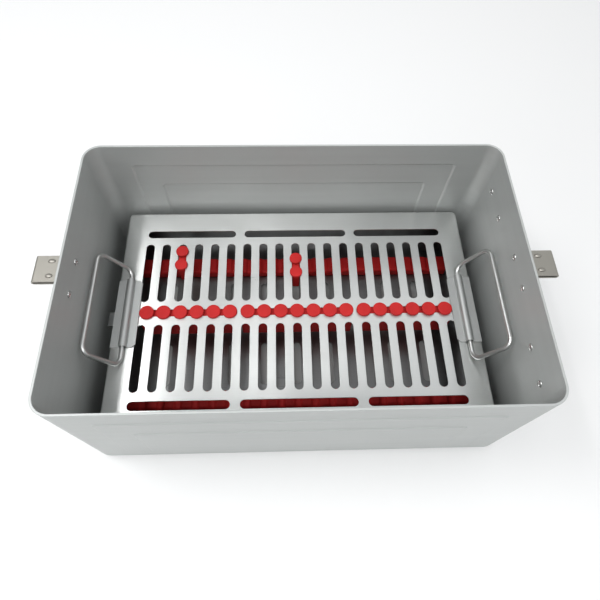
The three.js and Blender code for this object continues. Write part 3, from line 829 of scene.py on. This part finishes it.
def disc_strip(b, middle, discs, radius, slot_width, half_keel, keel_bottom, overhang, along):
    """Disc heads above the plate, a neck in the slot and a keel below it."""
    under = LID_TOP - SHEET
    end = (discs - 1) * DISC_PITCH / 2
    half_neck = slot_width / 2 - 0.4

    def spot(a, c, z):
        return (middle.x + a, middle.y + c, z) if along == "X" else (middle.x + c, middle.y + a, z)

    def block(half_a, half_c, low, high, bevel):
        p, q = spot(-half_a, -half_c, low), spot(half_a, half_c, high)
        b.box([min(v) for v in zip(p, q)], [max(v) for v in zip(p, q)], bevel, 3)

    stem = [(0, under - 1), (half_neck, under - 1), (half_neck, LID_TOP + 0.3), (0, LID_TOP + 0.3)]
    for i in range(discs):
        centre = spot(i * DISC_PITCH - end, 0, 0)
        b.lathe(disc_head(radius), centre, sides=40)
        b.lathe(stem, centre, sides=24)
    block(end + half_neck * 0.7, half_neck - 0.05, under - 1, LID_TOP - 0.8, 0.5)
    block(end + overhang, half_keel, keel_bottom, under - 0.3, KEEL_EDGE)


def build_silicone():
    for name, discs in STRIPS:
        low, high = node_box(name)
        b = Builder()
        overhang = (high.x - low.x) / 2 - (discs - 1) * DISC_PITCH / 2
        middle = strip_middle(name)
        disc_strip(b, middle, discs, DISC_RADIUS, STRIP_SLOT_WIDTH, STRIP_HALF_KEEL, low.z, overhang, "X")
        b.finish(name.replace("strip", "silicone"), "silicone", "tray_lid", "red_silicone", [name])
    for name, body in PLUGS:
        low, _ = node_box(name)
        b = Builder()
        middle = strip_middle(name)
        disc_strip(b, middle, 2, PLUG_DISC_RADIUS, SLOT_WIDTH, PLUG_HALF_KEEL, low.z, PLUG_OVERHANG, "Y")
        b.finish(f"{name}_silicone", "silicone", body, "red_silicone", [name])


def rail_section(low, high, depth):
    """The section of a silicone rail in Y and Z, with its top pressed down by depth."""
    top = high.z - depth
    middle = (low.y + high.y) / 2
    foot = 0.5
    points = [(low.y + foot, low.z), (low.y, low.z + foot)]
    points.extend(arc(low.y + RAIL_EDGE, top - RAIL_EDGE, RAIL_EDGE, 2, 1, 7))
    points.extend(arc(high.y - RAIL_EDGE, top - RAIL_EDGE, RAIL_EDGE, 1, 0, 7))
    points.extend([(high.y, low.z + foot), (high.y - foot, low.z)])
    for side, level in ((1, low.z), (1, RAIL_HOLLOW_TOP), (-1, RAIL_HOLLOW_TOP), (-1, low.z)):
        points.append((middle + side * RAIL_HOLLOW_HALF, level))
    return points


def build_rails():
    """Silicone rails with a shallow notch under each column of slots, and their folded supports."""
    reach = (SLOT_COLUMNS - 1) // 2
    for side in ("front", "back"):
        low, high = node_box(f"{side}_rail_silicone")
        stations = [(low.x, 0.35), (low.x + 0.35, 0.0)]
        for column in range(-reach, reach + 1):
            x = column * SLOT_PITCH
            for edge in (-1, 1):
                marks = []
                for i in range(5):
                    t = i / 4
                    across = edge * (NOTCH_WIDTH / 2 - NOTCH_SLOPE * t)
                    marks.append((x + across, NOTCH_DEPTH * smoothstep(t)))
                stations.extend(marks if edge < 0 else reversed(marks))
        stations.extend([(high.x - 0.35, 0.0), (high.x, 0.35)])
        b = Builder()
        rings = []
        for x, depth in stations:
            rings.append(b.ring([(x, y, z) for y, z in rail_section(low, high, depth)]))
        b.stack(rings)
        b.cap(rings[0], flip=True)
        b.cap(rings[-1])
        b.finish(f"{side}_rail_cap", "silicone", "tray_base", "red_silicone", [f"{side}_rail_silicone"], 45)

        low, high = node_box(f"{side}_rail_support")
        middle = (low.y + high.y) / 2
        crest = high.z - SHEET / 2
        corners = [
            (middle - SUPPORT_HALF, low.z), (middle - SUPPORT_HALF, crest),
            (middle + SUPPORT_HALF, crest), (middle + SUPPORT_HALF, low.z),
        ]
        b = Builder()
        b.sweep(sheet_section(bent_path(corners, FOLD_BEND), SHEET), low.x, high.x, "X")
        b.finish(f"{side}_rail_channel", "rail", "tray_base", "rail_steel", [f"{side}_rail_support"])


build_silicone()
build_rails()


# ---------------------------------------------------------------- handles, latch, catches, rivets and labels
SIDES = {"left": -1, "right": 1}


def right_box(name, end):
    """A node's box, mirrored to the right-hand end where the node is on the left."""
    low, high = node_box(name)
    if end < 0:
        low.x, high.x = -high.x, -low.x
    return low, high


def finish_side(b, end, *what):
    if end < 0:
        b.mirror_x()
    b.finish(*what)


def build_wire(side, end):
    """A closed loop of round wire in a leaning plane."""
    low, high = right_box(f"{side}_wire_handle", end)
    foot = Vector((low.x + WIRE_RADIUS, 0, low.z + WIRE_RADIUS))
    head = Vector((high.x - WIRE_RADIUS, 0, high.z - WIRE_RADIUS))
    along = (head - foot).normalized()
    across = Vector((0, 1, 0))
    normal = along.cross(across)
    centre = (foot + head) / 2 + across * (low.y + high.y) / 2
    half_width = (high.y - low.y) / 2 - WIRE_RADIUS
    sides = 24
    b = Builder()
    rings = []
    for u, v, nu, nv in rounded_outline(half_width, (head - foot).length / 2, WIRE_BEND, 14):
        middle = centre + across * u + along * v
        outward = across * nu + along * nv
        ring = []
        for k in range(sides):
            angle = 2 * math.pi * k / sides
            ring.append(middle + (outward * math.cos(angle) + normal * math.sin(angle)) * WIRE_RADIUS)
        rings.append(b.ring(ring))
    b.stack(rings + rings[:1])
    node = f"{side}_wire_handle"
    finish_side(b, end, f"{side}_handle_loop", "wire", f"{side}_handle", "wire_steel", [node])


def build_bracket(side, end):
    """A strap over the wire: a flat flange on each side of an arched channel."""
    low, high = right_box(f"{side}_handle_bracket", end)
    wire_low, _ = right_box(f"{side}_wire_handle", end)
    pivot = wire_low.x + WIRE_RADIUS
    axis = wire_low.z + WIRE_RADIUS
    level = low.z + BRACKET_SHEET / 2
    radius = BRACKET_CHANNEL + BRACKET_SHEET / 2
    path = bent_path([(low.x, level), (pivot - radius, level), (pivot - radius, axis)], CHANNEL_BEND)
    path += [Vector(p) for p in arc(pivot, axis, radius, 2, 0, 16)[1:-1]]
    path += bent_path([(pivot + radius, axis), (pivot + radius, level), (high.x, level)], CHANNEL_BEND)
    b = Builder()
    b.sweep(sheet_section(path, BRACKET_SHEET), low.y, high.y, "Y", chamfer=BRACKET_CHAMFER)
    node = f"{side}_handle_bracket"
    finish_side(b, end, f"{side}_handle_strap", "bracket", "tray_lid", "bracket_steel", [node])


def build_latch():
    """A spring leaf on a spacer, with its top turned outwards as a thumb tab.

    The sheet starts at the tab's outer edge, so the chamfer draws its two corners out by 0.85 mm.
    """
    low, high = right_box("lid_latch", -1)
    leaf_x = LID_HALF_X + LATCH_GAP + SHEET / 2
    crest = high.z - SHEET / 2
    leaf = bent_path([(high.x, crest), (leaf_x, crest), (leaf_x, low.z + SHEET)], FOLD_BEND)
    b = Builder()
    b.sweep(sheet_section(leaf, SHEET), low.y, high.y, "Y", chamfer=1.0)
    outer = leaf_x + SHEET / 2 + 0.02
    b.box((low.x, low.y, low.z), (outer, high.y, low.z + LATCH_ROOT_HEIGHT), 0.3)
    finish_side(b, -1, "latch_leaf", "base", "latch", "latch_steel", ["lid_latch"])


def build_catch(side, end):
    """A riveted flange, bent out into a shelf that is folded back, with two darts over the bend."""
    low, high = right_box(f"{side}_lid_catch", end)
    wall_x = low.x + SHEET / 2
    top = SHELF_TOP - SHEET / 2
    under = top + SHEET - HOOK_DEPTH
    fold = (top - under) / 2
    tip = high.x - SHEET / 2 - fold
    path = [(wall_x, CATCH_FLANGE_TOP - 0.5)]
    path += arc(wall_x + CATCH_BEND, top - CATCH_BEND, CATCH_BEND, 2, 1, 8)
    path += arc(tip, top - fold, fold, 1, -1, 12)
    path.append((TUB_HALF_X + HOOK_END, under))
    b = Builder()
    b.sweep(sheet_section(path, SHEET * 1.03), -CATCH_WIDTH / 2, CATCH_WIDTH / 2, "Y")
    middle_z = (low.z + CATCH_FLANGE_TOP) / 2
    half_z = (CATCH_FLANGE_TOP - low.z) / 2
    flange = rounded_outline(high.y, half_z, FLANGE_CORNER, 6)
    outline = [(y, z + middle_z, ny, nz) for y, z, ny, nz in flange]
    hole = RIVET_SHANK + 0.2
    holes = [circle_outline(sign * RIVET_SPACING / 2, RIVET_HEIGHT, hole) for sign in (-1, 1)]
    b.slab(outline, holes, low.x, low.x + SHEET)
    for sign in (-1, 1):
        made = bmesh.ops.create_uvsphere(b.bm, u_segments=24, v_segments=14, radius=1.0)["verts"]
        bmesh.ops.scale(b.bm, vec=DART_RADII, verts=made)
        bmesh.ops.translate(b.bm, vec=(wall_x + DART_OUT, sign * DART_Y, top + SHEET / 4), verts=made)
    finish_side(b, end, f"{side}_catch_plate", "catch", "container", "catch_steel", [f"{side}_lid_catch"])


def build_rivet(node):
    """A domed head with a small mandrel hole inside the wall, and a flat tail outside."""
    end = -1 if node.startswith("left") else 1
    low, high = right_box(node, end)
    centre = (0, (low.y + high.y) / 2, (low.z + high.z) / 2)
    hole, hole_depth, hole_share = 0.55, 0.6, 0.17
    head_depth, tail_depth, tail_edge = 1.0, 0.6, 0.3
    steps = 7
    profile = [(0, low.x + hole_depth), (hole - 0.1, low.x + hole_depth), (hole, low.x + 0.1)]
    for i in range(steps + 1):
        angle = math.pi / 2 * (hole_share + (1 - hole_share) * i / steps)
        profile.append((RIVET_HEAD * math.sin(angle), low.x + head_depth * (1 - math.cos(angle))))
    profile += [(RIVET_SHANK, low.x + head_depth), (RIVET_SHANK, high.x - tail_depth)]
    profile += [(RIVET_HEAD, high.x - tail_depth), (RIVET_HEAD, high.x - tail_edge)]
    profile += [(RIVET_HEAD - tail_edge, high.x), (0, high.x)]
    b = Builder()
    b.lathe(profile, centre, "X", 32)
    finish_side(b, end, f"{node}_head", "rivet", "container", "rivet_metal", [node])


def build_label(side):
    """A holder folded over the long edges of a blank tag."""
    low, high = node_box(f"{side}_label_holder")
    half = HOLDER_SHEET / 2
    back, front = low.x + half, high.x - half
    bottom, top = low.z + half, high.z - half
    corners = [
        (front, bottom + HOLDER_LIP), (front, bottom), (back, bottom),
        (back, top), (front, top), (front, top - HOLDER_LIP),
    ]
    b = Builder()
    b.sweep(sheet_section(bent_path(corners, HOLDER_BEND), HOLDER_SHEET), low.y, high.y, "Y")
    b.finish(f"{side}_holder_frame", "bracket", "container", "holder_steel", [f"{side}_label_holder"])
    low, high = node_box(f"{side}_label_tag")
    centre = (low + high) / 2
    size = (high - low) / 2
    card = rounded_outline(size.y, size.z, TAG_CORNER, 6)
    outline = [(y + centre.y, z + centre.z, ny, nz) for y, z, ny, nz in card]
    b = Builder()
    b.slab(outline, [], low.x, high.x, 0.1)
    b.finish(f"{side}_tag_card", "tag", f"{side}_tag", "blank_tag", [f"{side}_label_tag"])


for side, end in SIDES.items():
    build_wire(side, end)
    build_bracket(side, end)
    build_catch(side, end)
build_latch()
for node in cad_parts:
    if "rivet" in node:
        build_rivet(node)
for side in ("front", "back"):
    build_label(side)


# ---------------------------------------------------------------- floor, light and camera
def stage_object(b, name, material):
    mesh = bpy.data.meshes.new(name)
    bmesh.ops.scale(b.bm, vec=(MM, MM, MM), verts=b.bm.verts)
    b.bm.to_mesh(mesh)
    mesh.materials.append(material)
    made = bpy.data.objects.new(name, mesh)
    bpy.context.scene.collection.objects.link(made)
    return made


def build_stage():
    """A round paper floor, and a plain pale backdrop round it that lights nothing."""
    edge = [(x, y) for x, y, _, _ in circle_outline(0, 0, STAGE_RADIUS, 96)]
    b = Builder()
    b.cap(b.ring([(x, y, 0) for x, y in edge]))
    stage_object(b, "floor", floor_paper("floor_paper"))
    b = Builder()
    b.stack([b.ring([(x, y, z) for x, y in edge]) for z in (-1.0, BACKDROP_HEIGHT)])
    backdrop = stage_object(b, "backdrop", glowing_paper("backdrop_paper"))
    backdrop.visible_diffuse = False
    backdrop.visible_glossy = False
    backdrop.visible_shadow = False


def area_light(name, position, target, size, power, turn=0.0):
    data = bpy.data.lights.new(name, "AREA")
    data.shape = "RECTANGLE"
    data.size, data.size_y = size
    data.energy = power
    light = bpy.data.objects.new(name, data)
    light.location = position
    aim = (Vector(target) - Vector(position)).to_track_quat("-Z", "Y").to_matrix()
    light.rotation_euler = (Matrix.Rotation(math.radians(turn), 3, "Z") @ aim).to_euler()
    bpy.context.scene.collection.objects.link(light)


def build_lights():
    """A dome bright overhead and at both sides, soft boxes, and two strip lights that streak the lid."""
    world = bpy.data.worlds.new("studio")
    world.use_nodes = True
    nodes, links = world.node_tree.nodes, world.node_tree.links

    def math_node(operation, *values):
        made = nodes.new("ShaderNodeMath")
        made.operation = operation
        for socket, value in zip(made.inputs, values):
            if isinstance(value, bpy.types.NodeSocket):
                links.new(value, socket)
            else:
                socket.default_value = value
        return made.outputs[0]

    split = nodes.new("ShaderNodeSeparateXYZ")
    links.new(nodes.new("ShaderNodeTexCoord").outputs["Generated"], split.inputs[0])
    height = math_node("MAXIMUM", split.outputs["Z"], 0.0)
    overhead = math_node("MULTIPLY", math_node("POWER", height, 3.0), OVERHEAD_LIGHT)
    right = math_node("MULTIPLY", math_node("MAXIMUM", split.outputs["X"], 0.0), RIGHT_LIGHT)
    left = math_node("MULTIPLY", math_node("MINIMUM", split.outputs["X"], 0.0), -LEFT_LIGHT)
    side = math_node("ADD", right, left)
    background = nodes["Background"]
    background.inputs["Color"].default_value = (0.975, 0.99, 1.0, 1)
    links.new(math_node("ADD", overhead, side), background.inputs["Strength"])
    bpy.context.scene.world = world
    area_light("left_strip_light", (-0.45, 0.05, CEILING), (-0.45, 0.05, 0), (0.05, 1.1), 1.2)
    area_light("middle_strip_light", (-0.13, -0.05, CEILING), (-0.13, -0.05, 0), (0.03, 0.5), 0.27, turn=-20)
    area_light("key_softbox", (-1.0, 0.2, 1.6), (0, 0, 0.05), (0.6, 0.6), 5.4)
    area_light("front_softbox", (-0.8, -0.8, 0.7), (0, -0.1, 0.05), (0.5, 0.5), 1.2)
    area_light("top_softbox", (-0.1, -0.7, 1.3), (0, 0.1, 0.05), (0.8, 0.4), 6.4)
    area_light("back_softbox", (0.3, 1.0, 1.0), (0, 0, 0.08), (0.8, 0.4), 1.2)


def build_camera():
    """A camera above the front edge that looks down into the tub, without shift or depth of field."""
    position = Vector(CAMERA_POSITION)
    tilt, yaw, roll = (math.radians(a) for a in (CAMERA_TILT, CAMERA_YAW, CAMERA_ROLL))
    forward = Vector((math.sin(yaw) * math.cos(tilt), math.cos(yaw) * math.cos(tilt), -math.sin(tilt)))
    level = Vector((math.cos(yaw), -math.sin(yaw), 0))
    upright = level.cross(forward)
    right = math.cos(roll) * level + math.sin(roll) * upright
    up = -math.sin(roll) * level + math.cos(roll) * upright
    data = bpy.data.cameras.new("camera")
    data.sensor_width = CAMERA_SENSOR
    data.lens = CAMERA_LENS
    data.clip_start = 0.01
    camera = bpy.data.objects.new("camera", data)
    turn = Matrix((right, up, -forward)).transposed().to_4x4()
    camera.matrix_world = Matrix.Translation(position) @ turn
    bpy.context.scene.collection.objects.link(camera)
    bpy.context.scene.camera = camera


build_stage()
build_lights()
build_camera()
bpy.context.scene.view_settings.view_transform = "Standard"
bpy.context.scene.view_settings.look = "Medium High Contrast"
